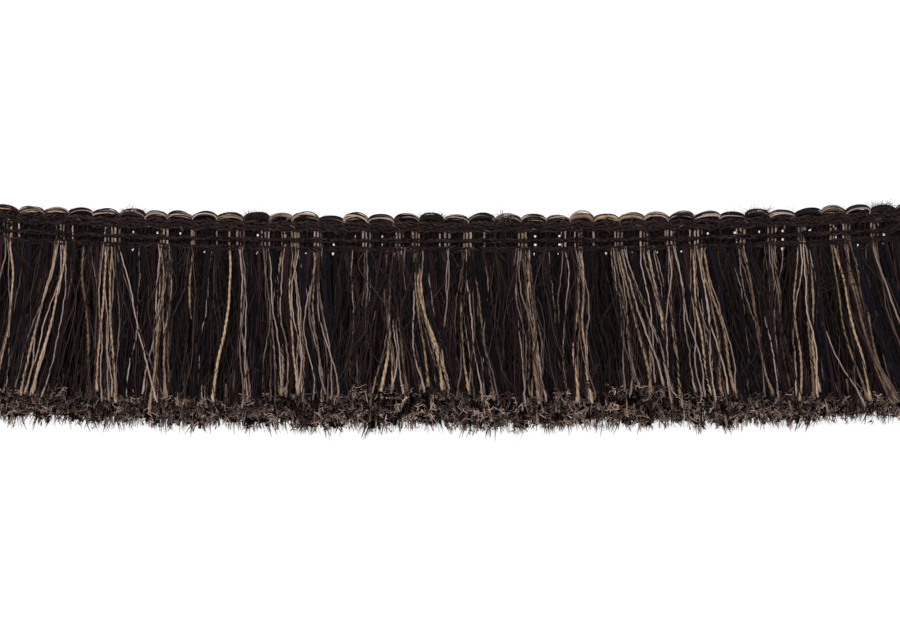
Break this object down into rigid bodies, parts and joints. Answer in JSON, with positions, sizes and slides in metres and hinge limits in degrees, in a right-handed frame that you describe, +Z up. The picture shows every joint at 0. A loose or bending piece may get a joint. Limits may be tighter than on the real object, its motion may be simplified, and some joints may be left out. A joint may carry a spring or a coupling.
{
  "type": "fringe trim",
  "caption": "Straight length of brush fringe trim: a narrow woven heading with a scalloped loop edge and a thick skirt of cut yarn, lying on its back.",
  "frame": {"origin": "middle of the heading's flat back, where the trim is sewn or glued on", "axes": "+X along the trim, +Y across it towards the scalloped edge, +Z up from the surface it lies on"},
  "size_m": [0.2234, 0.0536, 0.0081],
  "materials": {
    "heading": "soft matt dark brown warp cords over tan, rose-beige, navy and plum weft yarns",
    "skirt": "cut yarn in dark brown, navy, plum, tan and rose-beige, with fuzzy cut ends"
  },
  "bodies": {
    "root": {"heading": "heading", "skirt": "skirt"}
  },
  "joints": []
}
